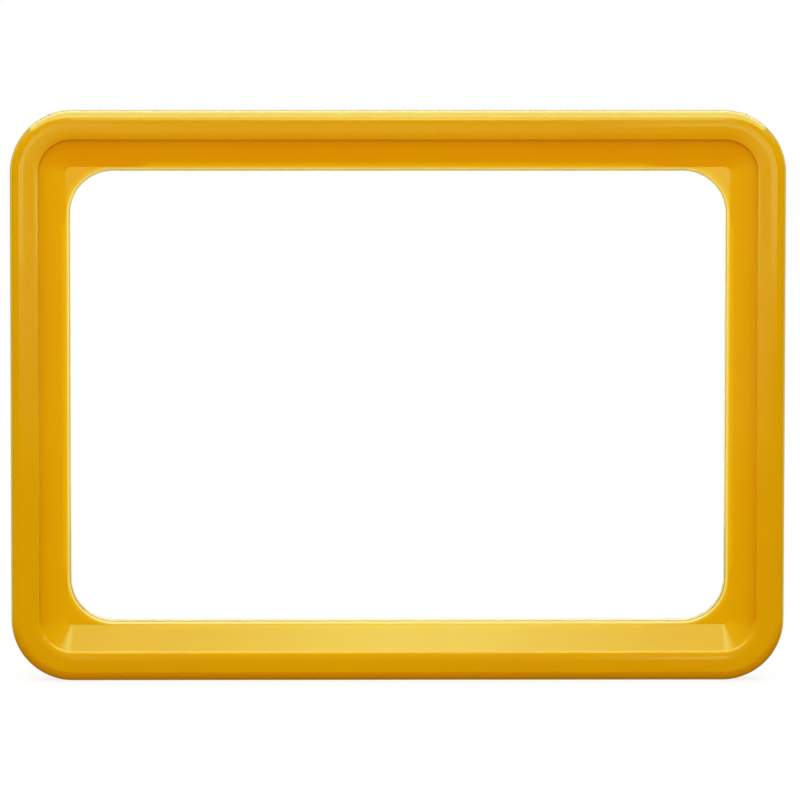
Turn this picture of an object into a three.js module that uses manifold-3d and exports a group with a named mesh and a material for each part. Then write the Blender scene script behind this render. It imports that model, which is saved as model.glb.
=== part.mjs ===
// A moulded sign frame for one A4 sheet in landscape, with a raised round-cornered rim and a sloped bezel.
// Two equal half shells of glossy polystyrene meet back to back on a parting plane. Each has pins on its left
// and sockets on its right, so the second half, turned round on its upright axis, plugs into the first.
// A folded clear pocket holds the sheet and slides in through the slot in the top edge.
// Units are millimetres. X runs along the width, Z is up and the front faces -Y. The origin lies in the
// parting plane, under the middle of the bottom edge.

import * as THREE from "three";
import { mergeVertices } from "three/addons/utils/BufferGeometryUtils.js";
import Module from "manifold-3d";

// The sheet, and how far the lips cover it on each side.
const SHEET_WIDTH = 297;
const SHEET_HEIGHT = 210;
const SHEET_OVERLAP = 8;

// The pocket of folded clear film.
const FILM = 0.25;
const LEAF_GAP = 0.5;
const POCKET_MARGIN = 1; // how far the pocket reaches past the sheet on each side
const POCKET_SINK = 1.5; // how far the pocket's open edge stays below the frame's top
const SLIDE_GAP = 0.3; // between a leaf and the land that it slides on
const SIDE_PLAY = 0.5; // between the pocket and the rib beside it
const SEAT_GAP = 0.3; // between the fold and the rib under it

// The border's widths, measured inwards from the outer edge.
const BORDER_WIDTH = 25.6;
const RIM_WIDTH = 12.2;
const STEP_RUN = 0.2; // how far the step leans
const LAND_WIDTH = 1.2; // the raised strip round the window that the pocket slides on
const LAND_SETBACK = 0.3; // from the land to the foot of the slope
const FOOT_RADIUS = 2.5; // the corner at the slope's foot, the smallest of the nested corners
const WINDOW_RADIUS = 18.6;
const WINDOW_DRAFT = 0.1; // how much wider the window is in front than at the pocket

// Heights of one half, which add up from the pocket to the crown.
const LAND_HEIGHT = 0.4;
const WALL = 1.8;
const SLOPE_DROP = 2.2;
const STEP_HEIGHT = 0.95;
const INNER_SHOULDER_DROP = 0.35;
const CROWN_RISE = 0.06;

// Shapes along the rim's section.
const SHOULDER_WIDTH = 3.4;
const SHOULDER_RISE = 3.3;
const SHOULDER_PULL = 0.55; // how far into the corner the shoulder's curve is drawn, as a share
const INNER_SHOULDER_WIDTH = 3;
const INNER_SHOULDER_PULL = 0.6; // where along its width the inner shoulder's curve bends most
const CROWN_FLAT = 2.4; // the flat strip along the crown, which the frame lies on
const FOOT_BLEND = 0.6; // the run over which the slope eases into the ledge
const EDGE_ROUND = 1.3; // the rounding of the window's edge
const PARTING_CHAMFER = 0.3;

// Ribs inside the border, which stop and guide the pocket.
const RIB_THICKNESS = 1.5;

// Pins and sockets that join the halves, standing under the crown.
const PIN_RADIUS = 1.4;
const PIN_LENGTH = 2.4;
const PIN_CLEARANCE = 0.3;
const PIN_CHAMFER = 0.4;
const SOCKET_SPARE = 0.5; // bore left under the pin
const BOSS_WALL = 1.3;
const GUSSET_THICKNESS = 1.2;
const GUSSET_SINK = 0.5; // how far a gusset is sunk into the side wall and the crown
const SIDE_BOSSES = 4; // bosses spread along one side
const TOP_BOSS_ANGLE = 25; // degrees above level, where the highest boss stands in the top corner

// The slot for the pocket, and the small slots that take hooks, feet and couplings.
const MOUTH_MARGIN = 0.4; // how much deeper than the channel the mouth is, on each side
const MOUTH_CHAMFER = 0.8;
const ACCESSORY_LENGTH = 8;
const ACCESSORY_DEPTH = 3;
const ACCESSORY_SPREAD = 160; // between the two slots in the bottom edge

// Fineness of the facets.
const CORNER_STEPS = 12;
const CURVE_STEPS = 4;
const PIN_SIDES = 16;
const FOLD_STEPS = 6;
const CUT_SPARE = 1; // how far a cut runs out past what it cuts
const MERGE_DISTANCE = 1e-4; // points nearer than this become one

// Sizes that follow.
const WINDOW_WIDTH = SHEET_WIDTH - 2 * SHEET_OVERLAP;
const WINDOW_HEIGHT = SHEET_HEIGHT - 2 * SHEET_OVERLAP;
const OUTER_WIDTH = WINDOW_WIDTH + 2 * BORDER_WIDTH;
const OUTER_HEIGHT = WINDOW_HEIGHT + 2 * BORDER_WIDTH;
const FOOT_OFFSET = BORDER_WIDTH - LAND_WIDTH - LAND_SETBACK;
const OUTER_RADIUS = FOOT_RADIUS + FOOT_OFFSET;
const STRAIGHT_WIDTH = OUTER_WIDTH - 2 * OUTER_RADIUS;
const STRAIGHT_HEIGHT = OUTER_HEIGHT - 2 * OUTER_RADIUS;
const SLOPE_START = RIM_WIDTH + STEP_RUN;
const SLOPE_END = FOOT_OFFSET - FOOT_BLEND / 2;
const POCKET_WIDTH = SHEET_WIDTH + 2 * POCKET_MARGIN;
const POCKET_THICKNESS = 2 * FILM + LEAF_GAP;
const POCKET_BOTTOM = BORDER_WIDTH - SHEET_OVERLAP - FILM;
const POCKET_HEIGHT = OUTER_HEIGHT - POCKET_SINK - POCKET_BOTTOM;
const LAND_DEPTH = POCKET_THICKNESS / 2 + SLIDE_GAP;
const LIP_BACK_DEPTH = LAND_DEPTH + LAND_HEIGHT;
const LEDGE_DEPTH = LIP_BACK_DEPTH + WALL;
const STEP_FOOT_DEPTH = LEDGE_DEPTH + SLOPE_DROP;
const STEP_TOP_DEPTH = STEP_FOOT_DEPTH + STEP_HEIGHT;
const CROWN_EDGE_DEPTH = STEP_TOP_DEPTH + INNER_SHOULDER_DROP;
const CROWN_DEPTH = CROWN_EDGE_DEPTH + CROWN_RISE;
const CAVITY_DEPTH = CROWN_EDGE_DEPTH - WALL;
const CHANNEL_HALF_WIDTH = POCKET_WIDTH / 2 + SIDE_PLAY;
const MOUTH_DEPTH = LAND_DEPTH + MOUTH_MARGIN;
const BORE_RADIUS = PIN_RADIUS + PIN_CLEARANCE;
const BOSS_RADIUS = BORE_RADIUS + BOSS_WALL;
const BOSS_OFFSET = (WALL + RIM_WIDTH) / 2;
const BOSS_ROOT = CAVITY_DEPTH + WALL / 2;

const wasm = await Module();
wasm.setup();

// A closed geometry as a solid that can be cut and joined.
function toSolid(geometry) {
  const bare = geometry.clone();
  bare.deleteAttribute("normal");
  bare.deleteAttribute("uv");
  const merged = mergeVertices(bare, MERGE_DISTANCE);
  const triangles = [];
  for (let i = 0; i < merged.index.count; i += 3) {
    const [a, b, c] = merged.index.array.slice(i, i + 3);
    if (a !== b && b !== c && c !== a) {
      triangles.push(a, b, c);
    }
  }
  return new wasm.Manifold(
    new wasm.Mesh({
      numProp: 3,
      vertProperties: merged.attributes.position.array,
      triVerts: new Uint32Array(triangles),
    }),
  );
}

// A cut or joined solid as a geometry again.
function toGeometry(solid) {
  const mesh = solid.getMesh();
  const geometry = new THREE.BufferGeometry();
  geometry.setAttribute("position", new THREE.BufferAttribute(mesh.vertProperties, 3));
  geometry.setIndex(new THREE.BufferAttribute(mesh.triVerts, 1));
  geometry.computeVertexNormals();
  return geometry;
}

// A box between two corners. Depth counts from the parting plane towards the front.
function boxGeometry([x0, x1], [depth0, depth1], [z0, z1]) {
  const geometry = new THREE.BoxGeometry(x1 - x0, depth1 - depth0, z1 - z0);
  return geometry.translate((x0 + x1) / 2, -(depth0 + depth1) / 2, (z0 + z1) / 2);
}

// An outline drawn in depth and height, extruded along the width and centred on it.
function extrudeAlongWidth(shape, width) {
  const geometry = new THREE.ExtrudeGeometry(shape, {
    depth: width,
    bevelEnabled: false,
    curveSegments: FOLD_STEPS,
  });
  const forward = new THREE.Vector3(0, -1, 0);
  const up = new THREE.Vector3(0, 0, 1);
  const left = new THREE.Vector3(-1, 0, 0);
  geometry.applyMatrix4(new THREE.Matrix4().makeBasis(forward, up, left));
  return geometry.translate(width / 2, 0, 0);
}

// One closed loop round the frame: a rounded rectangle at an inward offset from the outer edge, at one depth.
function ringPoints({ offset, depth, radius }) {
  const reachX = OUTER_WIDTH / 2 - offset - radius;
  const reachZ = OUTER_HEIGHT / 2 - offset - radius;
  const sides = [[1, 1], [-1, 1], [-1, -1], [1, -1]];
  return sides.flatMap(([sideX, sideZ], quarter) =>
    Array.from({ length: CORNER_STEPS + 1 }, (_, step) => {
      const angle = ((quarter + step / CORNER_STEPS) * Math.PI) / 2;
      return new THREE.Vector3(
        sideX * reachX + radius * Math.cos(angle),
        -depth,
        OUTER_HEIGHT / 2 + sideZ * reachZ + radius * Math.sin(angle),
      );
    }),
  );
}

// The solid that a closed section sweeps round the frame, with a skin between each loop and the next.
function sweepRound(rings) {
  const loops = rings.map(ringPoints);
  const count = loops[0].length;
  const indices = loops.flatMap((_, i) => {
    const here = i * count;
    const next = ((i + 1) % loops.length) * count;
    return Array.from({ length: count }, (_, k) => {
      const after = (k + 1) % count;
      return [here + k, here + after, next + after, here + k, next + after, next + k];
    }).flat();
  });
  const geometry = new THREE.BufferGeometry().setFromPoints(loops.flat());
  geometry.setIndex(indices);
  return toSolid(geometry);
}

// Corners that nest inside the outer corner, and corners that follow the window's.
const nested = ({ x, y }) => ({ offset: x, depth: y, radius: OUTER_RADIUS - x });
const roundWindow = ({ x, y }) => ({ offset: x, depth: y, radius: WINDOW_RADIUS + BORDER_WIDTH - x });

// The depth of the sloped bezel's front at an offset.
function slopeDepth(offset) {
  return STEP_FOOT_DEPTH - (SLOPE_DROP * (offset - SLOPE_START)) / (SLOPE_END - SLOPE_START);
}

// The front skin: side wall, outer shoulder, crown, inner shoulder, step, slope and the slope's foot.
function frontSection() {
  const crownStart = SHOULDER_WIDTH;
  const crownEnd = RIM_WIDTH - INNER_SHOULDER_WIDTH;
  const crownMiddle = (crownStart + crownEnd) / 2;
  const shoulderBase = CROWN_EDGE_DEPTH - SHOULDER_RISE;
  const blendStart = FOOT_OFFSET - FOOT_BLEND;
  const path = new THREE.Path();
  path.moveTo(PARTING_CHAMFER, 0);
  path.lineTo(0, PARTING_CHAMFER);
  path.lineTo(0, shoulderBase);
  path.bezierCurveTo(
    0, shoulderBase + SHOULDER_RISE * SHOULDER_PULL,
    SHOULDER_WIDTH * (1 - SHOULDER_PULL), CROWN_EDGE_DEPTH,
    crownStart, CROWN_EDGE_DEPTH,
  );
  path.lineTo(crownMiddle - CROWN_FLAT / 2, CROWN_DEPTH);
  path.lineTo(crownMiddle + CROWN_FLAT / 2, CROWN_DEPTH);
  path.lineTo(crownEnd, CROWN_EDGE_DEPTH);
  path.quadraticCurveTo(
    crownEnd + INNER_SHOULDER_WIDTH * INNER_SHOULDER_PULL, CROWN_EDGE_DEPTH,
    RIM_WIDTH, STEP_TOP_DEPTH,
  );
  path.lineTo(SLOPE_START, STEP_FOOT_DEPTH);
  path.lineTo(blendStart, slopeDepth(blendStart));
  path.quadraticCurveTo(SLOPE_END, LEDGE_DEPTH, FOOT_OFFSET, LEDGE_DEPTH);
  return path.getPoints(CURVE_STEPS);
}

// The lip: its rounded edge, the window's wall and the land that the pocket slides on.
function lipSection() {
  const roundCentre = BORDER_WIDTH - WINDOW_DRAFT - EDGE_ROUND;
  const path = new THREE.Path();
  path.moveTo(roundCentre, LEDGE_DEPTH);
  path.absarc(roundCentre, LEDGE_DEPTH - EDGE_ROUND, EDGE_ROUND, Math.PI / 2, 0, true);
  path.lineTo(BORDER_WIDTH, LAND_DEPTH);
  path.lineTo(BORDER_WIDTH - LAND_WIDTH, LAND_DEPTH);
  path.lineTo(BORDER_WIDTH - LAND_WIDTH, LIP_BACK_DEPTH);
  return path.getPoints(CURVE_STEPS);
}

// The hollow side: behind the slope, under the crown and down the side wall to the parting plane.
function hollowSection() {
  const insideRound = SHOULDER_WIDTH - WALL;
  const path = new THREE.Path();
  path.moveTo(FOOT_OFFSET, LIP_BACK_DEPTH);
  path.lineTo(SLOPE_START, STEP_FOOT_DEPTH - WALL);
  path.lineTo(RIM_WIDTH - WALL, CAVITY_DEPTH);
  path.lineTo(SHOULDER_WIDTH, CAVITY_DEPTH);
  path.quadraticCurveTo(WALL, CAVITY_DEPTH, WALL, CAVITY_DEPTH - insideRound);
  path.lineTo(WALL, 0);
  return path.getPoints(CURVE_STEPS);
}

// Ribs that stand in the left, right and bottom borders and meet those of the other half.
function pocketRibs() {
  const sideRoot = slopeDepth(OUTER_WIDTH / 2 - CHANNEL_HALF_WIDTH) - WALL / 2;
  const seat = POCKET_BOTTOM - SEAT_GAP;
  const seatRoot = slopeDepth(seat) - WALL / 2;
  const upright = [OUTER_RADIUS, OUTER_HEIGHT - OUTER_RADIUS];
  const outside = CHANNEL_HALF_WIDTH + RIB_THICKNESS;
  return [
    boxGeometry([-outside, -CHANNEL_HALF_WIDTH], [0, sideRoot], upright),
    boxGeometry([CHANNEL_HALF_WIDTH, outside], [0, sideRoot], upright),
    boxGeometry([-STRAIGHT_WIDTH / 2, STRAIGHT_WIDTH / 2], [0, seatRoot], [seat - RIB_THICKNESS, seat]),
  ].map(toSolid);
}

// Where bosses stand on the right: along the bottom, up the side and in the top corner, clear of the mouth.
// The heading is the angle towards the side wall, from +X towards +Z.
function bossPlaces() {
  const shares = Array.from({ length: SIDE_BOSSES }, (_, k) => (k + 0.5) / SIDE_BOSSES);
  const bottom = shares
    .filter((share) => share > 0.5)
    .map((share) => ({
      x: STRAIGHT_WIDTH * (share - 0.5),
      z: BOSS_OFFSET,
      heading: -Math.PI / 2,
    }));
  const upright = shares.map((share) => ({
    x: OUTER_WIDTH / 2 - BOSS_OFFSET,
    z: OUTER_RADIUS + STRAIGHT_HEIGHT * share,
    heading: 0,
  }));
  const heading = THREE.MathUtils.degToRad(TOP_BOSS_ANGLE);
  const corner = {
    x: STRAIGHT_WIDTH / 2 + (OUTER_RADIUS - BOSS_OFFSET) * Math.cos(heading),
    z: OUTER_HEIGHT - OUTER_RADIUS + (OUTER_RADIUS - BOSS_OFFSET) * Math.sin(heading),
    heading,
  };
  return [...bottom, ...upright, corner];
}

// A turned post that stands along the depth, from radius and depth pairs that start and end on its axis.
function post(profile, { x, z }) {
  const points = profile.map(([radius, depth]) => new THREE.Vector2(radius, -depth));
  return toSolid(new THREE.LatheGeometry(points, PIN_SIDES).translate(x, 0, z));
}

const pinProfile = [
  [0, BOSS_ROOT],
  [BOSS_RADIUS, BOSS_ROOT],
  [BOSS_RADIUS, 0],
  [PIN_RADIUS, 0],
  [PIN_RADIUS, PIN_CHAMFER - PIN_LENGTH],
  [PIN_RADIUS - PIN_CHAMFER, -PIN_LENGTH],
  [0, -PIN_LENGTH],
];

const socketProfile = [
  [0, BOSS_ROOT],
  [BOSS_RADIUS, BOSS_ROOT],
  [BOSS_RADIUS, 0],
  [BORE_RADIUS, 0],
  [BORE_RADIUS, PIN_LENGTH + SOCKET_SPARE],
  [0, PIN_LENGTH + SOCKET_SPARE],
];

// The web that ties a boss to the side wall and the crown, from the boss's skin into both.
function gusset({ x, z, heading }) {
  const reach = [BORE_RADIUS + BOSS_WALL / 2, BOSS_OFFSET - WALL + GUSSET_SINK];
  const depths = [0, CAVITY_DEPTH + GUSSET_SINK];
  const thickness = [-GUSSET_THICKNESS / 2, GUSSET_THICKNESS / 2];
  const geometry = boxGeometry(reach, depths, thickness);
  return toSolid(geometry.rotateY(-heading).translate(x, 0, z));
}

const acrossToLeft = ({ x, z, heading }) => ({ x: -x, z, heading: Math.PI - heading });

function bosses() {
  const right = bossPlaces();
  const left = right.map(acrossToLeft);
  return [
    ...right.map((place) => post(socketProfile, place)),
    ...left.map((place) => post(pinProfile, place)),
    ...[...right, ...left].map(gusset),
  ];
}

// The slot through the top wall, with a chamfered lead-in for the pocket.
function mouthCut() {
  const top = OUTER_HEIGHT;
  const shape = new THREE.Shape();
  shape.moveTo(-CUT_SPARE, top - RIM_WIDTH);
  shape.lineTo(MOUTH_DEPTH, top - RIM_WIDTH);
  shape.lineTo(MOUTH_DEPTH, top - MOUTH_CHAMFER);
  shape.lineTo(MOUTH_DEPTH + MOUTH_CHAMFER + CUT_SPARE, top + CUT_SPARE);
  shape.lineTo(-CUT_SPARE, top + CUT_SPARE);
  return toSolid(extrudeAlongWidth(shape, 2 * CHANNEL_HALF_WIDTH));
}

// Small slots through the side wall: two in the bottom edge and one in each upright edge.
function accessoryCuts() {
  const depth = [-CUT_SPARE, ACCESSORY_DEPTH / 2];
  const through = WALL + CUT_SPARE;
  const half = ACCESSORY_LENGTH / 2;
  const middle = OUTER_HEIGHT / 2;
  return [-1, 1].flatMap((side) => {
    const x = (side * ACCESSORY_SPREAD) / 2;
    const edge = (side * OUTER_WIDTH) / 2;
    const across = [edge - side * through, edge + side * CUT_SPARE].sort((a, b) => a - b);
    return [
      boxGeometry([x - half, x + half], depth, [-CUT_SPARE, through]),
      boxGeometry(across, depth, [middle - half, middle + half]),
    ].map(toSolid);
  });
}

function halfShell() {
  const skin = sweepRound([
    ...frontSection().map(nested),
    ...lipSection().map(roundWindow),
    ...hollowSection().map(nested),
  ]);
  const joined = [...pocketRibs(), ...bosses()].reduce((whole, piece) => whole.add(piece), skin);
  const cut = [mouthCut(), ...accessoryCuts()].reduce((whole, piece) => whole.subtract(piece), joined);
  return toGeometry(cut);
}

// The pocket: two leaves of film joined by a round fold along the bottom, open at the top and the ends.
function pocketFilm() {
  const outside = POCKET_THICKNESS / 2;
  const inside = LEAF_GAP / 2;
  const shape = new THREE.Shape();
  shape.moveTo(-outside, POCKET_HEIGHT);
  shape.lineTo(-outside, outside);
  shape.absarc(0, outside, outside, Math.PI, 2 * Math.PI, false);
  shape.lineTo(outside, POCKET_HEIGHT);
  shape.lineTo(inside, POCKET_HEIGHT);
  shape.lineTo(inside, outside);
  shape.absarc(0, outside, inside, 0, -Math.PI, true);
  shape.lineTo(-inside, POCKET_HEIGHT);
  return extrudeAlongWidth(shape, POCKET_WIDTH);
}

function namedMesh(name, geometry, material) {
  const mesh = new THREE.Mesh(geometry, material);
  mesh.name = name;
  return mesh;
}

const yellowPlastic = () =>
  new THREE.MeshStandardMaterial({
    color: "#dfa010",
    roughness: 0.22,
    metalness: 0,
  });

const clearFilm = () =>
  new THREE.MeshStandardMaterial({
    color: "#f2f6f8",
    roughness: 0.08,
    metalness: 0,
    transparent: true,
    opacity: 0.25,
  });

const shell = halfShell();
const frontHalf = namedMesh("front_half", shell, yellowPlastic());
const rearHalf = namedMesh("rear_half", shell, yellowPlastic());
rearHalf.rotation.z = Math.PI;
const pocket = namedMesh("clear_pocket", pocketFilm(), clearFilm());
pocket.position.z = POCKET_BOTTOM;

const signFrame = new THREE.Group();
signFrame.add(frontHalf, rearHalf, pocket);

export default signFrame;
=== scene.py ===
"""Sign frame: two half shells of glossy yellow plastic with a clear pocket, on a pale floor."""

import math

import bmesh
import bpy
from bpy.props import FloatProperty, FloatVectorProperty, IntProperty, PointerProperty
from mathutils import Matrix, Quaternion, Vector


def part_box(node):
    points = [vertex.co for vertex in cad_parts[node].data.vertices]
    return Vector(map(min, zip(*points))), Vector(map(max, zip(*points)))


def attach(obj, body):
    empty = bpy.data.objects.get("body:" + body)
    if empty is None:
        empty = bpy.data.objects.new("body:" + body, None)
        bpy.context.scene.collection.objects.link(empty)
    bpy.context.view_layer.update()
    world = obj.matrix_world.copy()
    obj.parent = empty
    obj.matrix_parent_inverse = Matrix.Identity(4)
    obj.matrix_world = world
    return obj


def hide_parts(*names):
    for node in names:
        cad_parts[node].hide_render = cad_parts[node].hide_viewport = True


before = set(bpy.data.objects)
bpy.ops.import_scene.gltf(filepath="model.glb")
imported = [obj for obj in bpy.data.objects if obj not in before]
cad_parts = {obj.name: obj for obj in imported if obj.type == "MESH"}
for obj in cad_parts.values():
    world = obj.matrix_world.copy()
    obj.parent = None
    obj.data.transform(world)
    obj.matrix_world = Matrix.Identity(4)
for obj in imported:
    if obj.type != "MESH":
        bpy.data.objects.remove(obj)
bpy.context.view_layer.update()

bl_info = {
    "name": "Sign Frame",
    "version": (1, 0, 0),
    "blender": (4, 5, 0),
    "location": "3D View > Sidebar > Sign Frame",
    "description": "A moulded sign frame of two half shells with a clear pocket for a sheet",
    "category": "Object",
}

MM = 0.001
SHELL_LOW, SHELL_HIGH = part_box("front_half")
HALF_WIDTH = SHELL_HIGH.x
HALF_HEIGHT = SHELL_HIGH.z / 2
CROWN_DEPTH = -SHELL_LOW.y

ROUND_SEGMENTS = 6  # in a rounding of a section
STRAIGHT_STEPS = 4  # that half a straight side is pulled in
POST_FACETS = 24
FOLD_SEGMENTS = 8  # in each half of the pocket's fold
SHARP_ANGLE = math.radians(32)

# The lamps: name, place, what it points at, width, height, the setting with its radiance, and the rays
# it is hidden from. The panel that gloss sees stands far off, so that its reflection ends in the corners.
MIDDLE = (0, 0, HALF_HEIGHT)
LAMPS = (
    ("front_panel", (-0.015, -1.9, 0.66), MIDDLE, 0.67, 0.7, "panel", "visible_glossy"),
    ("panel_heart", (0.045, -1.88, 0.72), MIDDLE, 0.16, 0.5, "heart", "visible_glossy"),
    ("far_panel", (0.095, -6.0, 2.02), MIDDLE, 0.91, 2.21, "panel_sheen", "visible_diffuse"),
    ("far_heart", (0.122, -5.95, 2.21), MIDDLE, 0.287, 1.6, "heart_sheen", "visible_diffuse"),
    ("key", (0, -0.85, 0.97), MIDDLE, 0.8, 0.6, "key", None),
    ("strip", (-0.325, -2.2, 0.07), (-0.325, 0, 0.07), 0.25, 0.12, "strip", None),
    ("strip", (0.325, -2.2, 0.07), (0.325, 0, 0.07), 0.25, 0.12, "strip", None),
    ("overhead_sheen", (0, 0, 2.4), MIDDLE, 5.0, 5.0, "sheen", "visible_diffuse"),
    ("window_glow", (0, -0.65 * MM, 0.1425), (0, -1, 0.1425), 0.28, 0.153, "window", None),
)

CAMERA_AIM = Vector((0.91 * MM, 0, 120.7 * MM))
FLOOR_REACH = 16
CLOTH_LIFT = 0.3 * MM  # above the floor
CLOTH_REACH = 6.6
CLOTH_HEIGHT = 3.3
CLOTH_TURN = math.radians(200)  # how far round the frame it goes, with its middle behind the camera


def length(name, description, millimetres):
    return FloatProperty(
        name=name, description=description, default=millimetres * MM, unit="LENGTH", precision=5
    )


def colour(name, description, *shade):
    return FloatVectorProperty(
        name=name, description=description, subtype="COLOR", size=3, min=0, max=1, default=shade
    )


def angle(name, description, degrees):
    return FloatProperty(name=name, description=description, default=math.radians(degrees), unit="ROTATION")


def number(name, description, value):
    return FloatProperty(name=name, description=description, default=value)


class SignFrameShellSizes(bpy.types.PropertyGroup):
    """Sizes of a half shell. Offsets count inwards from the outer edge, depths from the parting plane."""

    corner_radius: length("Corner radius", "Radius of the outer corners", 26.6)
    window_radius: length("Window radius", "Radius of the window's corners", 18.6)
    border: length("Border", "From the outer edge to the window", 25.6)
    rim: length("Rim", "From the outer edge to the step", 12.2)
    foot: length("Slope's foot", "From the outer edge to the foot of the slope", 24.1)
    foot_strip: length("Slope's foot, strip", "Strip of the ledge that is drawn with the slope", 0.1)
    foot_ease: length("Slope's foot, ease", "Rounding between the slope and that strip", 0.07)
    step_top: length("Step, top", "Depth where the rim meets the step", 6.15)
    step_foot: length("Step, foot", "Depth where the step meets the slope", 5.2)
    step_run: length("Step, run", "How far the step leans inwards", 0.25)
    step_edge: length("Step, edge", "Rounding of the step's upper edge", 0.4)
    step_ease: length("Step, ease", "Rounding between the step and the slope", 0.52)
    crown_edge: length("Crown, edge", "Depth of the crown at its outer edge", 6.5)
    crown_start: length("Crown, start", "From the outer edge to the top of the crown", 4.7)
    crown_end: length("Crown, end", "From the outer edge to where the crown starts to fall", 6.4)
    crown_ease: length("Crown, ease", "Rounding at both ends of the top of the crown", 0.75)
    turn: length("Inner turn", "From the outer edge to where the crown bends down to the step", 10.3)
    turn_fall: length("Inner turn, fall", "How far below the crown's outer edge that bend lies", 0.08)
    turn_round: length("Inner turn, round", "Rounding of that bend", 1.75)
    shoulder: length("Outer shoulder", "Rounding between the side wall and the crown", 3.9)
    ledge: length("Ledge", "Depth of the flat ledge round the window", 3.0)
    land: length("Land", "Depth of the strip that the pocket slides on", 0.8)
    land_width: length("Land, width", "Width of the strip that the pocket slides on", 1.2)
    lip_start: length("Lip, start", "From the slope's foot to the first point of the lip", 0.05)
    lip_back: length("Lip, back", "Depth of the back of the lip", 1.2)
    lip_fall: length("Lip, fall", "How much the lip falls on from the ledge to its rounding", 0.27)
    edge_round: length("Window edge", "Rounding of the window's front edge", 1.25)
    draft: length("Window edge, draft", "How much wider the window is in front than at the bead", 0.05)
    bead: length("Bead", "How far the fine bead inside that rounding stands out into the window", 0.35)
    bead_depth: length("Bead, depth", "Depth of the bead's front", 1.5)
    bead_fall: length("Bead, fall", "How much the bead's front falls towards the window", 0.1)
    bead_round: length("Bead, round", "Rounding of the bead", 0.1)
    wall: length("Wall", "Thickness of the moulding", 1.8)
    hollow_ease: length("Hollow, ease", "Rounding inside, behind the step", 0.5)
    hollow_shoulder: length("Hollow, shoulder", "Rounding inside, between the side wall and the crown", 1.6)
    chamfer: length("Parting chamfer", "Chamfer along the parting line", 0.3)
    corner_steps: IntProperty(
        name="Corner steps", description="Facets in a quarter turn", default=32, min=4
    )


class SignFrameFittings(bpy.types.PropertyGroup):
    """Sizes of the ribs, posts and slots inside a half shell."""

    channel: length("Channel", "Half the width between the side ribs", 150)
    rib: length("Rib", "Thickness of the ribs that guide the pocket", 1.5)
    rib_depth: length("Side rib, depth", "How far a side rib reaches into the slope", 3.6)
    seat: length("Seat", "Height of the rib under the pocket's fold", 17.05)
    seat_depth: length("Seat rib, depth", "How far the bottom rib reaches into the slope", 3.4)
    post_offset: length("Post offset", "From the outer edge to the axis of a post", 7.0)
    post_radius: length("Post radius", "Outer radius of a post", 3.0)
    post_root: length("Post root", "Depth of a post's root in the wall", 5.6)
    bore_radius: length("Bore radius", "Radius of a socket's bore", 1.7)
    bore_depth: length("Bore depth", "Depth of a socket's bore", 2.9)
    pin_radius: length("Pin radius", "Radius of a pin", 1.4)
    pin_length: length("Pin length", "How far a pin stands out past the parting plane", 2.4)
    pin_chamfer: length("Pin chamfer", "Chamfer at a pin's tip", 0.4)
    gusset: length("Gusset", "Thickness of the web between a post and the side wall", 1.2)
    gusset_sink: length("Gusset, sink", "How far that web is sunk into the side wall and the crown", 0.5)
    top_post_turn: angle("Top post", "How far above level the highest post stands in its corner", 25)
    mouth_depth: length("Mouth, depth", "Half the depth of the slot in the top edge", 1.2)
    mouth_chamfer: length("Mouth, chamfer", "Lead-in chamfer of that slot", 0.8)
    slot_length: length("Accessory slot, length", "Length of the small slots", 8)
    slot_depth: length("Accessory slot, depth", "Width of the small slots across both halves", 3)
    slot_spread: length("Accessory slots, spread", "Between the two slots in the bottom edge", 160)


class SignFramePocketSizes(bpy.types.PropertyGroup):
    """Sizes of the folded clear pocket."""

    film: length("Film", "Thickness of the film", 0.25)
    gap: length("Gap", "Between the two leaves", 0.5)


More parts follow.
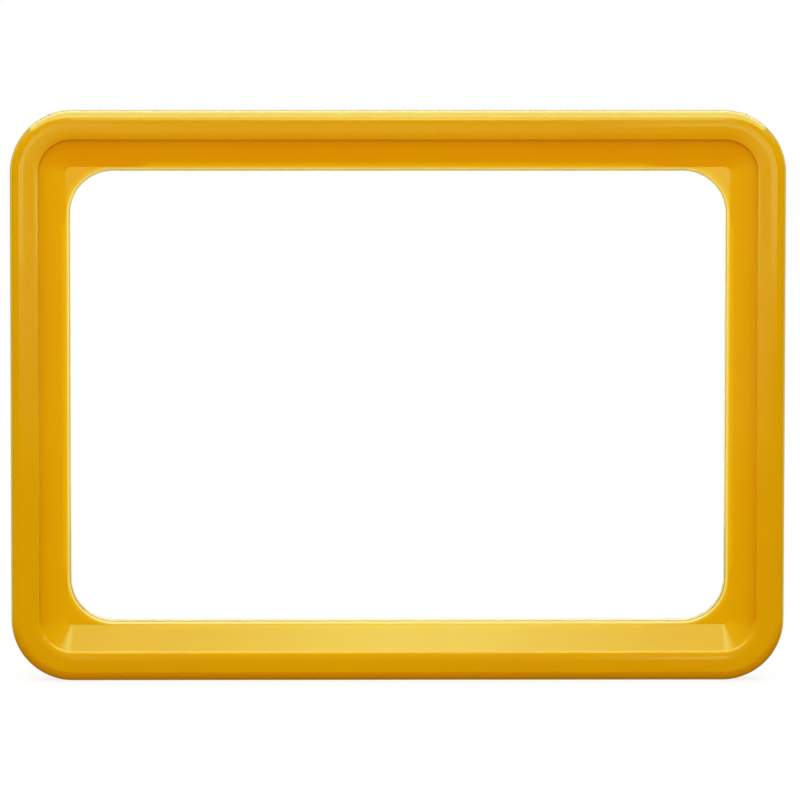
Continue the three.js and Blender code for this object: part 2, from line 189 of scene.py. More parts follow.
class SignFrameLooks(bpy.types.PropertyGroup):
    """Colours of the plastic, with painted light and shade in them, the film and the floor."""

    plastic: colour("Plastic", "The yellow of the mouldings", 0.672, 0.325, 0.0)
    # Painted light: a lighter yellow round the outer edge, as where light falls on it.
    painted_light_outer: colour("Plastic, outer", "The lighter yellow round the outer edge", 0.675, 0.375, 0.0)
    # Painted shade: a darker yellow at the foot of the step, where shade falls in the crease.
    painted_shade_crease: colour("Plastic, crease", "The deeper yellow at the foot of the step", 0.652, 0.28, 0.0)
    # Painted light: step and slope are painted lighter where they face up.
    painted_light_crest: colour("Plastic, crest", "Step and slope where they face up", 0.735, 0.388, 0.0)
    # Painted light: the slope is painted lighter step by step towards the window, as if lit through it.
    painted_light_slope: colour("Plastic, slope", "The yellow in the middle of the slope", 0.698, 0.332, 0.0)
    painted_light_by_window: colour("Plastic, thin", "Beside the window, where light comes in", 0.75, 0.366, 0.0)
    # Painted light and shade along the window's edge: a lighter rim, a pale glow on the edge, a dark line
    # where the bead starts and a pale highlight at its end.
    painted_light_rim: colour("Plastic, rim", "The yellow where the lip starts", 0.79, 0.45, 0.005)
    painted_glow_edge: colour("Plastic, edge", "The window's edge, which light shines through", 0.9, 0.66, 0.15)
    painted_shade_bead: colour("Plastic, bead", "The dark line where the bead starts", 0.42, 0.29, 0.04)
    painted_highlight_tip: colour("Plastic, tip", "The pale yellow of that bead's end", 0.94, 0.82, 0.5)
    # Painted shade: faces turned down are painted more orange; the same tint also follows the random
    # clouding of the pigment.
    cloud_and_painted_shade_tint: colour("Tint, turned down", "Turns yellow orange where it faces down", 0.97, 0.76, 1.0)
    # Painted shade: dims the outer edge where it faces up.
    painted_shade_shoulder_tint: colour("Tint, shoulder", "Dims the outer edge where it faces up", 0.8, 0.88, 0.9)
    # Painted shade: dims the window's edge where it faces up.
    painted_shade_edge_tint: colour("Tint, window's edge", "Dims the window's edge where it faces up", 0.9, 0.76, 0.85)
    sheen: colour("Sheen", "Tint of the reflections that meet the plastic head on", 0.48, 1.0, 0.42)
    film: colour("Film", "The clear film", 0.95, 0.97, 0.98)
    film_aslant: colour("Film, aslant", "What one face lets through aslant", 0.955, 0.965, 0.972)
    film_edge: colour("Film, edge", "The frosted look of the film's cut edges", 0.52, 0.57, 0.61)
    floor: colour("Floor", "The pale floor", 0.9, 0.9, 0.9)
    floor_bounce: colour("Floor, bounce", "What the floor throws back on the frame", 0.32, 0.31, 0.28)


class SignFrameStageSizes(bpy.types.PropertyGroup):
    """Where the camera stands, and the strength of the light."""

    distance: length("Camera distance", "From the camera to the frame", 3300)
    elevation: angle("Camera elevation", "How far above level the camera stands", 5.5)
    azimuth: angle("Camera azimuth", "How far round to the right the camera stands", -0.87)
    roll: angle("Camera roll", "Turn of the camera about its own axis", 0.054)
    lens: number("Lens", "Focal length in millimetres", 346.0)
    panel: number("Front panel", "Radiance of the panel above the camera", 4.5)
    heart: number("Panel's heart", "Extra radiance in its middle", 2.2)
    panel_sheen: number("Panel's sheen", "Radiance of what gloss sees of the panel", 3.2)
    heart_sheen: number("Heart's sheen", "Extra radiance of what gloss sees of its middle", 3.6)
    strip: number("Strips", "Radiance of the strips beside the camera", 2.6)
    key: number("Key", "Radiance of the lamp high in front", 3.3)
    sheen: number("Overhead sheen", "Radiance overhead that only gloss sees", 5.0)
    sky: number("Sky", "Strength of the light from above", 0.8)
    ground: number("Ground", "Strength of the light from low down", 0.6)
    window: number("Window", "Radiance of the white behind the window", 0.9)
    backdrop: number("Backdrop", "Strength of the light from behind", 1.5)


# Meshes.


def fresh(name, bm):
    """A new object at the origin that holds this bmesh, in an order that is the same in every run."""
    verts = sorted(bm.verts, key=lambda vert: tuple(vert.co))
    places = {vert: place for place, vert in enumerate(verts)}
    faces = []
    for face in bm.faces:
        corners = [places[vert] for vert in face.verts]
        first = corners.index(min(corners))
        faces.append(corners[first:] + corners[:first])
    mesh = bpy.data.meshes.new(name)
    mesh.from_pydata([vert.co for vert in verts], [], sorted(faces))
    bm.free()
    piece = bpy.data.objects.new(name, mesh)
    bpy.context.scene.collection.objects.link(piece)
    return piece


def round_corners(bm, verts, reach, segments):
    """Rounds corners of a chain of edges, from this far back along both edges."""
    bmesh.ops.bevel(
        bm,
        geom=verts,
        offset=reach,
        offset_type="OFFSET",
        segments=segments,
        profile=0.5,
        affect="VERTICES",
        material=-1,
    )


def draw(bm, corners):
    """Draws a section in the middle of the top border as a chain of edges, and rounds its corners.

    Each corner is an offset, a depth and how far back from the corner its rounding starts.
    """
    before = set(bm.edges)
    verts = [bm.verts.new((0, -depth, HALF_HEIGHT - offset)) for offset, depth, _ in corners]
    for pair in zip(verts, verts[1:]):
        bm.edges.new(pair)
    for vert, (_, _, reach) in zip(verts, corners):
        if reach:
            round_corners(bm, [vert], reach, ROUND_SEGMENTS)
    return [edge for edge in bm.edges if edge not in before]


def pull(bm, edges, move, times):
    """Extrudes a chain of edges along a line and returns the chain at its end."""
    for _ in range(times):
        made = bmesh.ops.extrude_edge_only(bm, edges=edges)["geom"]
        verts = [item for item in made if isinstance(item, bmesh.types.BMVert)]
        bmesh.ops.translate(bm, verts=verts, vec=move / times)
        ends = set(verts)
        edges = [
            item for item in made if isinstance(item, bmesh.types.BMEdge) and ends.issuperset(item.verts)
        ]
    return edges


def sweep_quarter(bm, edges, centre_offset, steps):
    """Sweeps a section from the middle of the top border round to the middle of the right border."""
    centre = Vector((HALF_WIDTH - centre_offset, 0, HALF_HEIGHT - centre_offset))
    edges = pull(bm, edges, Vector((centre.x, 0, 0)), STRAIGHT_STEPS)
    verts = {vert for edge in edges for vert in edge.verts}
    turned = bmesh.ops.spin(
        bm,
        geom=[*verts, *edges],
        cent=centre,
        axis=(0, 1, 0),
        angle=math.pi / 2,
        steps=steps,
        use_merge=False,
    )["geom_last"]
    edges = [item for item in turned if isinstance(item, bmesh.types.BMEdge)]
    pull(bm, edges, Vector((0, 0, -centre.z)), STRAIGHT_STEPS)


def skin(s):
    """The shell's skin: three sections swept round and bridged into one closed wall."""
    bm = bmesh.new()
    wall_end = s.crown_edge - s.wall
    front = [
        (s.chamfer, 0, 0),
        (0, s.chamfer, s.chamfer / 3),
        (0, s.crown_edge, s.shoulder),
        (s.crown_start, CROWN_DEPTH, s.crown_ease),
        (s.crown_end, CROWN_DEPTH, s.crown_ease),
        (s.turn, s.crown_edge - s.turn_fall, s.turn_round),
        (s.rim, s.step_top, s.step_edge),
        (s.rim + s.step_run, s.step_foot, s.step_ease),
        (s.foot - s.foot_strip, s.ledge, s.foot_ease),
        (s.foot, s.ledge, 0),
    ]
    lip = [
        (s.foot + s.lip_start, s.ledge, 0),
        (s.border - s.draft, s.ledge - s.lip_fall, s.edge_round),
        (s.border, s.bead_depth + s.bead_fall, 0),
        (s.border + s.bead, s.bead_depth, s.bead_round),
        (s.border + s.bead, s.land, s.bead_round),
        (s.border - s.land_width, s.land, 0),
        (s.border - s.land_width, s.lip_back, 0),
    ]
    hollow = [
        (s.foot, s.lip_back, 0),
        (s.rim + s.step_run, s.step_foot - s.wall, s.hollow_ease),
        (s.rim - s.wall, wall_end, s.hollow_ease),
        (s.wall, wall_end, s.hollow_shoulder),
        (s.wall, 0, 0),
    ]
    sweep_quarter(bm, draw(bm, front) + draw(bm, hollow), s.corner_radius, s.corner_steps)
    sweep_quarter(bm, draw(bm, lip), s.window_radius + s.border, s.corner_steps)
    for axis in "XZ":
        everything = [*bm.verts, *bm.edges, *bm.faces]
        bmesh.ops.mirror(bm, geom=everything, matrix=Matrix.Identity(4), merge_dist=1e-6, axis=axis)
        bmesh.ops.remove_doubles(bm, verts=bm.verts, dist=1e-7)
    for depth in (0, s.ledge, s.lip_back):
        rims = [
            edge
            for edge in bm.edges
            if edge.is_boundary and all(abs(vert.co.y + depth) < 1e-6 for vert in edge.verts)
        ]
        bmesh.ops.bridge_loops(bm, edges=rims)
    bmesh.ops.translate(bm, verts=bm.verts, vec=(0, 0, HALF_HEIGHT))
    bmesh.ops.recalc_face_normals(bm, faces=bm.faces)
    return bm


def add_box(bm, low, high):
    """A box between two corners, with depth counted from the parting plane towards the front."""
    low, high = Vector(low), Vector(high)
    size = high - low
    made = bmesh.ops.create_cube(bm, size=1)["verts"]
    bmesh.ops.scale(bm, verts=made, vec=[abs(side) for side in size])
    middle = (low + high) / 2
    bmesh.ops.translate(bm, verts=made, vec=(middle.x, -middle.y, middle.z))
    return made


def add_post(bm, profile, x, z):
    """A turned post along the depth, from radius and depth pairs that start and end on its axis."""
    verts = [bm.verts.new((x + radius, -depth, z)) for radius, depth in profile]
    edges = [bm.edges.new(pair) for pair in zip(verts, verts[1:])]
    bmesh.ops.spin(
        bm,
        geom=[*verts, *edges],
        cent=(x, 0, z),
        axis=(0, 1, 0),
        angle=math.tau,
        steps=POST_FACETS,
        use_merge=True,
    )


def close(bm):
    """Merges what meets and turns the faces outwards."""
    bmesh.ops.remove_doubles(bm, verts=bm.verts, dist=1e-6)
    bmesh.ops.recalc_face_normals(bm, faces=bm.faces)
    return bm


def ribs(sizes, f):
    """The two upright ribs beside the pocket and the one under its fold."""
    bm = bmesh.new()
    top = 2 * HALF_HEIGHT - sizes.corner_radius
    for low, high in ((-f.channel - f.rib, -f.channel), (f.channel, f.channel + f.rib)):
        add_box(bm, (low, 0, sizes.corner_radius), (high, f.rib_depth, top))
    reach = HALF_WIDTH - sizes.corner_radius
    add_box(bm, (-reach, 0, f.seat - f.rib), (reach, f.seat_depth, f.seat))
    return close(bm)


def post_places(sizes, f):
    """Where the posts stand on the right: x, z and the heading towards the side wall."""
    reach = HALF_WIDTH - sizes.corner_radius
    upright = 2 * (HALF_HEIGHT - sizes.corner_radius)
    places = [(2 * reach * share / 8, f.post_offset, -math.pi / 2) for share in (1, 3)]
    places += [
        (HALF_WIDTH - f.post_offset, sizes.corner_radius + upright * share / 8, 0) for share in (1, 3, 5, 7)
    ]
    turn = f.top_post_turn
    radius = sizes.corner_radius - f.post_offset
    centre_z = 2 * HALF_HEIGHT - sizes.corner_radius
    places.append((reach + radius * math.cos(turn), centre_z + radius * math.sin(turn), turn))
    return places


def posts(sizes, f):
    """Sockets on the right and pins on the left."""
    bm = bmesh.new()
    root = [(0, f.post_root), (f.post_radius, f.post_root), (f.post_radius, 0)]
    socket = [*root, (f.bore_radius, 0), (f.bore_radius, f.bore_depth), (0, f.bore_depth)]
    pin = [
        *root,
        (f.pin_radius, 0),
        (f.pin_radius, f.pin_chamfer - f.pin_length),
        (f.pin_radius - f.pin_chamfer, -f.pin_length),
        (0, -f.pin_length),
    ]
    for x, z, _ in post_places(sizes, f):
        add_post(bm, socket, x, z)
        add_post(bm, pin, -x, z)
    return close(bm)


def gussets(sizes, f):
    """The webs that tie the posts to the side wall and the crown."""
    bm = bmesh.new()
    near = (f.bore_radius + f.post_radius) / 2
    far = f.post_offset - sizes.wall + f.gusset_sink
    depth = sizes.crown_edge - sizes.wall + f.gusset_sink
    for x, z, heading in post_places(sizes, f):
        for place, turn in (((x, 0, z), -heading), ((-x, 0, z), math.pi + heading)):
            web = add_box(bm, (near, 0, -f.gusset / 2), (far, depth, f.gusset / 2))
            bmesh.ops.rotate(bm, verts=web, cent=(0, 0, 0), matrix=Matrix.Rotation(turn, 3, "Y"))
            bmesh.ops.translate(bm, verts=web, vec=place)
    return close(bm)


def openings(sizes, f):
    """What is cut away: the pocket's mouth with its chamfer, and the accessory slots."""
    bm = bmesh.new()
    spare = MM
    top = 2 * HALF_HEIGHT
    lead_start = top - f.mouth_chamfer
    mouth = add_box(bm, (-f.channel, -spare, top - sizes.rim), (f.channel, f.mouth_depth, lead_start))
    lead = [
        face
        for face in {face for vert in mouth for face in vert.link_faces}
        if face.calc_center_median().z > lead_start - spare / 2
    ]
    raised = bmesh.ops.extrude_face_region(bm, geom=lead)["geom"]
    bmesh.ops.delete(bm, geom=lead, context="FACES")
    lip = [item for item in raised if isinstance(item, bmesh.types.BMVert)]
    rise = f.mouth_chamfer + spare
    bmesh.ops.translate(bm, verts=lip, vec=(0, 0, rise))
    front = [vert for vert in lip if vert.co.y < 0]
    bmesh.ops.translate(bm, verts=front, vec=(0, -rise, 0))
    reach = sizes.wall + spare
    half = f.slot_length / 2
    depth = f.slot_depth / 2
    for side in (-1, 1):
        x = side * f.slot_spread / 2
        add_box(bm, (x - half, -spare, -spare), (x + half, depth, reach))
        edge = side * HALF_WIDTH
        near, far = sorted((edge - side * reach, edge + side * spare))
        add_box(bm, (near, -spare, HALF_HEIGHT - half), (far, depth, HALF_HEIGHT + half))
    bmesh.ops.recalc_face_normals(bm, faces=bm.faces)
    return bm


def bake(piece, modifier):
    """Makes what the modifier gives the piece's own mesh."""
    bpy.context.view_layer.update()
    result = bpy.data.meshes.new_from_object(piece.evaluated_get(bpy.context.evaluated_depsgraph_get()))
    piece.modifiers.remove(modifier)
    old = piece.data
    piece.data = result
    result.name = piece.name
    bpy.data.meshes.remove(old)


def combine(piece, bm, operation):
    """Joins a bmesh to a piece, or cuts it away."""
    tool = fresh("cutter", bm)
    step = piece.modifiers.new("step", "BOOLEAN")
    step.operation = operation
    step.solver = "EXACT"
    step.object = tool
    bake(piece, step)
    bpy.data.meshes.remove(tool.data)


def mark_inset(mesh, name, border, radius):
    """Keeps on each vertex how far it lies inwards from a rounded outline, for the material to read."""
    centre = Vector((HALF_WIDTH - border - radius, HALF_HEIGHT - border - radius))
    insets = []
    for vert in mesh.vertices:
        past = Vector((abs(vert.co.x), abs(vert.co.z - HALF_HEIGHT))) - centre
        outside = Vector((max(past.x, 0), max(past.y, 0))).length
        insets.append(radius - outside - min(max(past.x, past.y), 0))
    mesh.attributes.new(name, "FLOAT", "POINT").data.foreach_set("value", insets)


def finish_piece(piece, material, body, node):
    """Smooths a piece up to its sharp edges, gives it its material and its body, and hides its node."""
    piece.data.shade_smooth()
    piece.data.set_sharp_from_angle(angle=SHARP_ANGLE)
    weighted = piece.modifiers.new("Weighted normals", "WEIGHTED_NORMAL")
    weighted.keep_sharp = True
    piece.data.materials.clear()
    piece.data.materials.append(material)
    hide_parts(node)
    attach(piece, body)


# Materials. The helpers add one node each, and the inputs may be values or links.


def node(tree, kind, inputs=None, **settings):
    """Adds a node, with its settings and the values of or links to its inputs."""
    made = tree.nodes.new(kind)
    for key, value in settings.items():
        setattr(made, key, value)
    for key, value in (inputs or {}).items():
        if isinstance(value, bpy.types.NodeSocket):
            tree.links.new(value, made.inputs[key])
        else:
            made.inputs[key].default_value = value
    return made


def new_tree(name):
    material = bpy.data.materials.new(name)
    material.use_nodes = True
    material.node_tree.nodes.clear()
    return material, material.node_tree


def calc(tree, operation, first, second=0.0, clamp=False):
    """Works out a value from one or two others."""
    made = node(tree, "ShaderNodeMath", {0: first, 1: second}, operation=operation, use_clamp=clamp)
    return made.outputs["Value"]


def ramp(tree, value, low, high, to_low, to_high):
    """Maps a value from one range to another, held at the ends."""
    inputs = {"Value": value, "From Min": low, "From Max": high, "To Min": to_low, "To Max": to_high}
    return node(tree, "ShaderNodeMapRange", inputs).outputs["Result"]


def bands(tree, value, places):
    """A colour that follows a value from place to place, held at the ends."""
    low, high = places[0][0], places[-1][0]
    made = node(tree, "ShaderNodeValToRGB", {"Fac": ramp(tree, value, low, high, 0.0, 1.0)})
    elements = made.color_ramp.elements
    while len(elements) < len(places):
        elements.new(0.5)
    for element, (place, shade) in zip(elements, places):
        element.position = (place - low) / (high - low)
        element.color = (*shade, 1)
    return made.outputs["Color"]


def blend(tree, factor, first, second, kind="MIX"):
    """Mixes a colour with a second one, or multiplies it by it."""
    first, second = (
        shade if isinstance(shade, bpy.types.NodeSocket) else (*shade, 1) for shade in (first, second)
    )
    inputs = {"Factor": factor, "A": first, "B": second}
    return node(tree, "ShaderNodeMix", inputs, data_type="RGBA", blend_type=kind).outputs["Result"]


def noise(tree, place, scale, detail, roughness=0.5):
    inputs = {"Vector": place, "Scale": scale, "Detail": detail, "Roughness": roughness}
    return node(tree, "ShaderNodeTexNoise", inputs).outputs["Fac"]


def attribute(tree, name):
    return node(tree, "ShaderNodeAttribute", attribute_name=name).outputs["Fac"]


def axes(tree, vector):
    return node(tree, "ShaderNodeSeparateXYZ", {"Vector": vector}).outputs


def mix_shaders(tree, factor, first, second):
    return node(tree, "ShaderNodeMixShader", {0: factor, 1: first, 2: second}).outputs["Shader"]


def plastic_colour(tree, looks, upward, cloud):
    """The yellow of each point, by its distance from the outer edge and the window and by how it faces,
    with light and shade painted into it.
    """
    from_edge = attribute(tree, "from_edge")
    from_window = attribute(tree, "from_window")
    # Painted light and shade along the border: lighter round the outer edge, darker at the foot of the
    # step, lighter again towards the window.
    yellow = bands(
        tree,
        from_edge,
        [
            (0.8 * MM, looks.painted_light_outer),
            (3.2 * MM, looks.plastic),
            (12.0 * MM, looks.plastic),
            (12.5 * MM, looks.painted_shade_crease),
            (16.5 * MM, looks.painted_light_slope),
            (25.0 * MM, looks.painted_light_by_window),
        ],
    )
    # Painted light: the inner part of the border is painted lighter where it faces up.
    inner = ramp(tree, from_edge, 8.8 * MM, 11.2 * MM, 0.0, 1.0)
    inner_up = calc(tree, "MULTIPLY", ramp(tree, upward, 0.0, 0.14, 0.0, 1.0), inner)
    yellow = blend(tree, inner_up, yellow, looks.painted_light_crest)
    # Painted shade: the outer edge is dimmed where it faces up.
    outer = ramp(tree, from_edge, 3.5 * MM, 4.5 * MM, 1.0, 0.0)
    outer_up = calc(tree, "MULTIPLY", ramp(tree, upward, 0.25, 0.75, 0.0, 1.0), outer)
    yellow = blend(tree, outer_up, yellow, looks.painted_shade_shoulder_tint, "MULTIPLY")
    # Painted shade where faces turn down, joined with the random clouding of the pigment.
    cloudy = ramp(tree, cloud, 0.35, 0.7, 0.0, 0.2)
    deep = calc(tree, "ADD", ramp(tree, upward, -0.25, 0.0, 1.0, 0.0), cloudy, clamp=True)
    yellow = blend(tree, deep, yellow, looks.cloud_and_painted_shade_tint, "MULTIPLY")
    # Painted light and shade on the window's edge: lighter rim, pale glow, dark line where the bead starts,
    # pale highlight at its end.
    edge = bands(
        tree,
        from_window,
        [
            (-1.5 * MM, looks.painted_light_rim),
            (-0.9 * MM, looks.painted_glow_edge),
            (-0.4 * MM, looks.painted_glow_edge),
            (-0.25 * MM, looks.painted_shade_bead),
            (-0.06 * MM, looks.painted_shade_bead),
            (0.12 * MM, looks.painted_highlight_tip),
        ],
    )
    # Painted shade: the window's edge is dimmed where it faces up.
    edge = blend(tree, ramp(tree, upward, 0.1, 0.6, 0.0, 1.0), edge, looks.painted_shade_edge_tint, "MULTIPLY")
    return blend(tree, ramp(tree, from_window, -3.8 * MM, -1.3 * MM, 0.0, 1.0), yellow, edge)


def glossy_plastic(looks):
    """Moulded plastic: slight clouding of the pigment, painted light and shade in its yellow, a faint
    ripple in the gloss and fine rub marks.
    """
    material, tree = new_tree("yellow_plastic")
    coordinates = node(tree, "ShaderNodeTexCoord").outputs
    place = coordinates["Object"]
    upward = axes(tree, coordinates["Normal"])["Z"]
    cloud = noise(tree, place, 28.0, 3.0)
    ripple = noise(tree, place, 90.0, 2.0, 0.4)
    grain = noise(tree, place, 2600.0, 2.0)
    stretch = {"Vector": place, "Rotation": (0, 0.6, 0), "Scale": (900, 900, 60)}
    rubs = noise(tree, node(tree, "ShaderNodeMapping", stretch).outputs["Vector"], 1.0, 2.0)
    wave = node(tree, "ShaderNodeBump", {"Strength": 0.25, "Distance": 0.06 * MM, "Height": ripple})
    relief = node(
        tree,
        "ShaderNodeBump",
        {"Strength": 0.2, "Distance": 0.004 * MM, "Height": grain, "Normal": wave.outputs["Normal"]},
    )
    rough = ramp(tree, cloud, 0.3, 0.7, 0.08, 0.11)
    shader = node(
        tree,
        "ShaderNodeBsdfPrincipled",
        {
            "Base Color": plastic_colour(tree, looks, upward, cloud),
            "Roughness": calc(tree, "ADD", ramp(tree, rubs, 0.62, 0.75, 0.0, 0.05), rough),
            "IOR": 1.5,
            "Specular Tint": (*looks.sheen, 1),
            "Subsurface Weight": ramp(
                tree, attribute(tree, "from_window"), -1.5 * MM, -0.5 * MM, 0.1, 0.8
            ),
            "Subsurface Radius": (1.0, 0.8, 0.25),
            "Subsurface Scale": 2 * MM,
            "Normal": relief.outputs["Normal"],
        },
    )
    node(tree, "ShaderNodeOutputMaterial", {"Surface": shader.outputs["BSDF"]})
    return material


def clear_film(looks, half_width, top):
    """Clear film: nothing to see head on, a trace of grey and gloss aslant, and frosted cut edges."""
    material, tree = new_tree("clear_film")
    place = node(tree, "ShaderNodeTexCoord").outputs["Object"]
    gloss = node(
        tree,
        "ShaderNodeBsdfPrincipled",
        {
            "Base Color": (*looks.film, 1),
            "Roughness": ramp(tree, noise(tree, place, 14.0, 2.0), 0.3, 0.7, 0.03, 0.09),
            "IOR": 1.5,
        },
    )
    aslant = node(tree, "ShaderNodeLayerWeight", {"Blend": 0.5}).outputs["Facing"]
    tone = blend(tree, ramp(tree, aslant, 0.05, 0.5, 0.0, 1.0), (1, 1, 1), looks.film_aslant)
    through = node(tree, "ShaderNodeBsdfTransparent", {"Color": tone})
    facing = node(tree, "ShaderNodeFresnel", {"IOR": 1.35}).outputs["Fac"]
    inside = node(tree, "ShaderNodeNewGeometry").outputs["Backfacing"]
    outside = calc(tree, "MULTIPLY", facing, ramp(tree, inside, 0.0, 1.0, 1.0, 0.0))
    clear = mix_shaders(tree, outside, through.outputs["BSDF"], gloss.outputs["BSDF"])
    along = axes(tree, place)
    to_side = calc(tree, "SUBTRACT", half_width, calc(tree, "ABSOLUTE", along["X"]))
    to_top = calc(tree, "SUBTRACT", top, along["Z"])
    to_edge = calc(tree, "MINIMUM", to_side, to_top)
    frosted = node(tree, "ShaderNodeBsdfDiffuse", {"Color": (*looks.film_edge, 1)})
    frosting = ramp(tree, to_edge, 0.4 * MM, 1.4 * MM, 0.75, 0.0)
    finished = mix_shaders(tree, frosting, clear, frosted.outputs["BSDF"])
    node(tree, "ShaderNodeOutputMaterial", {"Surface": finished})
    return material


def seen(tree):
    """1 for rays that show the background: from the camera, a glossy surface or through clear film."""
    rays = node(tree, "ShaderNodeLightPath").outputs
    both = calc(tree, "MAXIMUM", rays["Is Camera Ray"], rays["Is Glossy Ray"])
    return calc(tree, "MAXIMUM", both, rays["Is Transmission Ray"])


def floor_material(looks):
    """A pale matt floor, mostly as white as the backdrop, which keeps the frame's soft shadow."""
    material, tree = new_tree("pale_floor")
    shows = seen(tree)
    matt = node(
        tree, "ShaderNodeBsdfDiffuse", {"Color": blend(tree, shows, looks.floor_bounce, looks.floor)}
    )
    white = node(tree, "ShaderNodeEmission", {"Color": (1, 1, 1, 1), "Strength": 1.0})
    place = node(tree, "ShaderNodeTexCoord").outputs["Object"]
    behind = ramp(tree, axes(tree, place)["Y"], 0.05, 0.8, 0.32, 1.0)
    share = calc(tree, "MAXIMUM", calc(tree, "MULTIPLY", shows, 0.75), behind)
    mixed = mix_shaders(tree, share, matt.outputs["BSDF"], white.outputs["Emission"])
    node(tree, "ShaderNodeOutputMaterial", {"Surface": mixed})
    return material


def cloth_material():
    """Dark cloth with a pale streak in front of the frame, which fades out towards it and far from it."""
    material, tree = new_tree("dark_cloth")
    along = axes(tree, node(tree, "ShaderNodeTexCoord").outputs["Object"])
    aside = calc(tree, "ABSOLUTE", calc(tree, "ADD", along["X"], 0.05))
    near = ramp(tree, along["Y"], -1.75, -0.8, 0.8, 0.0)
    streak = calc(tree, "MULTIPLY", ramp(tree, aside, 0.18, 0.3, 1.0, 0.1), near)
    glow = calc(tree, "MULTIPLY", streak, ramp(tree, along["Y"], -4.5, -2.6, 0.1, 1.0))
    shader = node(tree, "ShaderNodeEmission", {"Color": (1, 1, 1, 1), "Strength": glow})
    node(tree, "ShaderNodeOutputMaterial", {"Surface": shader.outputs["Emission"]})
    return material


# Operators.


class SIGNFRAME_OT_shells(bpy.types.Operator):
    """Build the front and rear half shells"""

    bl_idname = "signframe.shells"
    bl_label = "Half shells"

    def execute(self, context):
        sizes = context.scene.sign_frame_shell
        f = context.scene.sign_frame_fittings
        front = fresh("front_shell", skin(sizes))
        combine(front, ribs(sizes, f), "UNION")
        combine(front, posts(sizes, f), "UNION")
        combine(front, gussets(sizes, f), "UNION")
        combine(front, openings(sizes, f), "DIFFERENCE")
        mark_inset(front.data, "from_edge", 0, sizes.corner_radius)
        mark_inset(front.data, "from_window", sizes.border, sizes.window_radius)
        rear = bpy.data.objects.new("rear_shell", front.data.copy())
        context.scene.collection.objects.link(rear)
        rear.data.transform(Matrix.Rotation(math.pi, 4, "Z"))
        plastic = glossy_plastic(context.scene.sign_frame_looks)
        finish_piece(front, plastic, "frame", "front_half")
        finish_piece(rear, plastic, "frame", "rear_half")
        return {"FINISHED"}


class SIGNFRAME_OT_pocket(bpy.types.Operator):
    """Build the folded clear pocket"""

    bl_idname = "signframe.pocket"
    bl_label = "Clear pocket"

    def execute(self, context):
        sizes = context.scene.sign_frame_pocket
        low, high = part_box("clear_pocket")
        middle = sizes.gap / 2 + sizes.film / 2
        bm = bmesh.new()
        corners = [
            (low.x, -middle, high.z),
            (low.x, -middle, low.z + sizes.film / 2),
            (low.x, middle, low.z + sizes.film / 2),
            (low.x, middle, high.z),
        ]
        verts = [bm.verts.new(corner) for corner in corners]
        for pair in zip(verts, verts[1:]):
            bm.edges.new(pair)
        round_corners(bm, verts[1:3], middle * 0.999, FOLD_SEGMENTS)
        pull(bm, list(bm.edges), Vector((high.x - low.x, 0, 0)), 1)
        bmesh.ops.recalc_face_normals(bm, faces=bm.faces)
        piece = fresh("pocket_film", bm)
        thick = piece.modifiers.new("Film", "SOLIDIFY")
        thick.thickness = sizes.film
        thick.offset = 0
        thick.use_even_offset = True
        bake(piece, thick)
        material = clear_film(context.scene.sign_frame_looks, high.x, high.z)
        finish_piece(piece, material, "pocket", "clear_pocket")
        return {"FINISHED"}


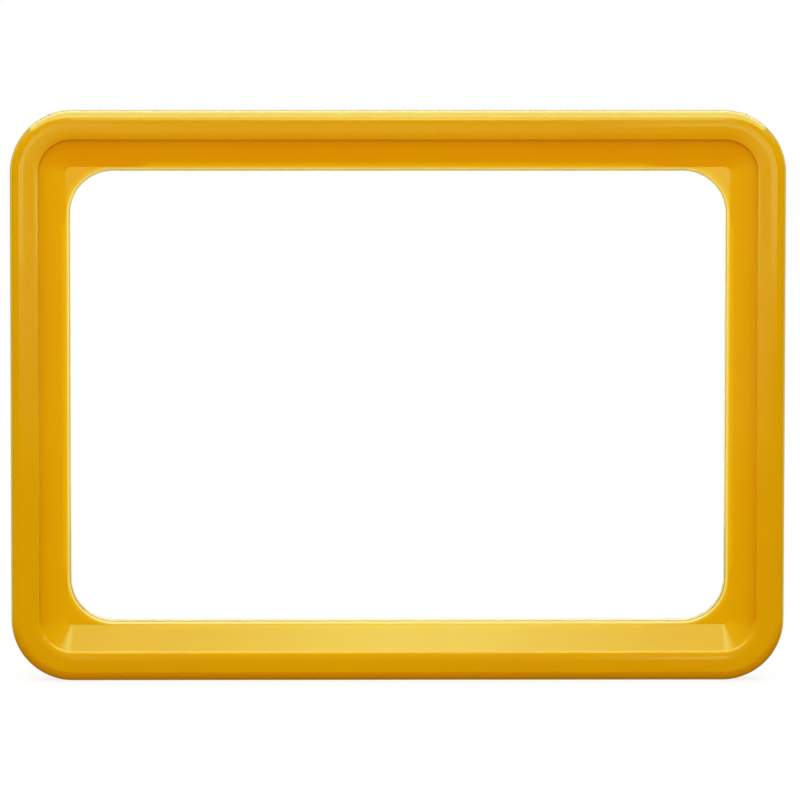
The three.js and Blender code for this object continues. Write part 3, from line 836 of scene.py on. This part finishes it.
class SIGNFRAME_OT_stage(bpy.types.Operator):
    """Set the floor, the lamps, the backdrop and the camera"""

    bl_idname = "signframe.stage"
    bl_label = "Stage"

    def execute(self, context):
        scene = context.scene
        sizes = scene.sign_frame_stage
        self.floor(scene)
        self.dark_cloth()
        self.world(scene, sizes)
        for name, place, aim, width, height, setting, hidden_from in LAMPS:
            lamp = self.lamp(scene, name, place, aim, width, height, getattr(sizes, setting))
            if hidden_from:
                setattr(lamp, hidden_from, False)
        self.camera(scene, sizes)
        scene.view_settings.view_transform = "Standard"
        return {"FINISHED"}

    def floor(self, scene):
        bm = bmesh.new()
        bmesh.ops.create_circle(bm, cap_ends=True, segments=96, radius=FLOOR_REACH)
        floor = fresh("floor", bm)
        floor.data.materials.append(floor_material(scene.sign_frame_looks))

    def dark_cloth(self):
        """A cloth on the floor and round the camera's side, which only gloss sees, as in a dark studio."""
        bm = bmesh.new()
        places = [(0, 0, CLOTH_LIFT), (0, -CLOTH_REACH, CLOTH_LIFT), (0, -CLOTH_REACH, CLOTH_HEIGHT)]
        verts = [bm.verts.new(place) for place in places]
        edges = [bm.edges.new(pair) for pair in zip(verts, verts[1:])]
        start = Matrix.Rotation(-CLOTH_TURN / 2, 3, "Z")
        bmesh.ops.rotate(bm, verts=verts, cent=(0, 0, 0), matrix=start)
        bmesh.ops.spin(
            bm,
            geom=[*verts, *edges],
            cent=(0, 0, 0),
            axis=(0, 0, 1),
            angle=CLOTH_TURN,
            steps=40,
            use_merge=False,
        )
        bmesh.ops.remove_doubles(bm, verts=bm.verts, dist=1e-6)
        piece = fresh("dark_cloth", bm)
        piece.data.materials.append(cloth_material())
        piece.visible_camera = False
        piece.visible_diffuse = False
        piece.visible_transmission = False
        piece.visible_shadow = False

    def world(self, scene, sizes):
        """White to every ray that shows the background, and to the rest a soft sky over a dimmer ground."""
        world = bpy.data.worlds.new("studio")
        world.use_nodes = True
        tree = world.node_tree
        tree.nodes.clear()
        heading = axes(tree, node(tree, "ShaderNodeTexCoord").outputs["Generated"])
        level = node(
            tree,
            "ShaderNodeMix",
            {
                "Factor": ramp(tree, heading["Y"], -0.2, 0.6, 0.0, 1.0),
                "A": ramp(tree, heading["Z"], 0.05, 0.4, sizes.ground, sizes.sky),
                "B": sizes.backdrop,
            },
        )
        shades = [
            node(tree, "ShaderNodeBackground", {"Color": (1, 1, 1, 1), "Strength": value}).outputs[0]
            for value in (level.outputs["Result"], 1.0)
        ]
        node(tree, "ShaderNodeOutputWorld", {"Surface": mix_shaders(tree, seen(tree), *shades)})
        scene.world = world

    def lamp(self, scene, name, place, aim, width, height, radiance):
        """A panel lamp that no view shows. Its power gives the radiance that is asked for."""
        light = bpy.data.lights.new(name, "AREA")
        light.shape = "RECTANGLE"
        light.size = width
        light.size_y = height
        light.energy = radiance * math.pi * width * height
        lamp = bpy.data.objects.new(name, light)
        scene.collection.objects.link(lamp)
        lamp.visible_camera = False
        lamp.location = place
        lamp.rotation_mode = "QUATERNION"
        lamp.rotation_quaternion = (Vector(aim) - Vector(place)).to_track_quat("-Z", "Y")
        return lamp

    def camera(self, scene, sizes):
        data = bpy.data.cameras.new("camera")
        data.sensor_width = 36
        data.lens = sizes.lens
        data.clip_start = 0.1
        data.clip_end = 60
        camera = bpy.data.objects.new("camera", data)
        scene.collection.objects.link(camera)
        e, a = sizes.elevation, sizes.azimuth
        back = Vector((math.sin(a) * math.cos(e), -math.cos(a) * math.cos(e), math.sin(e)))
        camera.location = CAMERA_AIM + back * sizes.distance
        camera.rotation_mode = "QUATERNION"
        look = (-back).to_track_quat("-Z", "Y")
        camera.rotation_quaternion = look @ Quaternion((0, 0, 1), sizes.roll)
        scene.camera = camera


class SIGNFRAME_PT_panel(bpy.types.Panel):
    """Builds the sign frame piece by piece"""

    bl_idname = "SIGNFRAME_PT_panel"
    bl_label = "Sign Frame"
    bl_space_type = "VIEW_3D"
    bl_region_type = "UI"
    bl_category = "Sign Frame"

    def draw(self, context):
        for name in SETTINGS:
            group = getattr(context.scene, name)
            column = self.layout.column(align=True)
            for key in group.bl_rna.properties.keys():
                if key not in ("rna_type", "name"):
                    column.prop(group, key)
        for operator in BUILD_ORDER:
            self.layout.operator(operator.bl_idname)


SETTINGS = {
    "sign_frame_shell": SignFrameShellSizes,
    "sign_frame_fittings": SignFrameFittings,
    "sign_frame_pocket": SignFramePocketSizes,
    "sign_frame_looks": SignFrameLooks,
    "sign_frame_stage": SignFrameStageSizes,
}
BUILD_ORDER = (SIGNFRAME_OT_shells, SIGNFRAME_OT_pocket, SIGNFRAME_OT_stage)


def register():
    for cls in (*SETTINGS.values(), *BUILD_ORDER, SIGNFRAME_PT_panel):
        bpy.utils.register_class(cls)
    for name, cls in SETTINGS.items():
        setattr(bpy.types.Scene, name, PointerProperty(type=cls))


def unregister():
    for name in SETTINGS:
        delattr(bpy.types.Scene, name)
    for cls in (SIGNFRAME_PT_panel, *reversed(BUILD_ORDER), *reversed(SETTINGS.values())):
        bpy.utils.unregister_class(cls)


def main():
    register()
    bpy.ops.signframe.shells()
    bpy.ops.signframe.pocket()
    bpy.ops.signframe.stage()


if __name__ == "__main__":
    main()
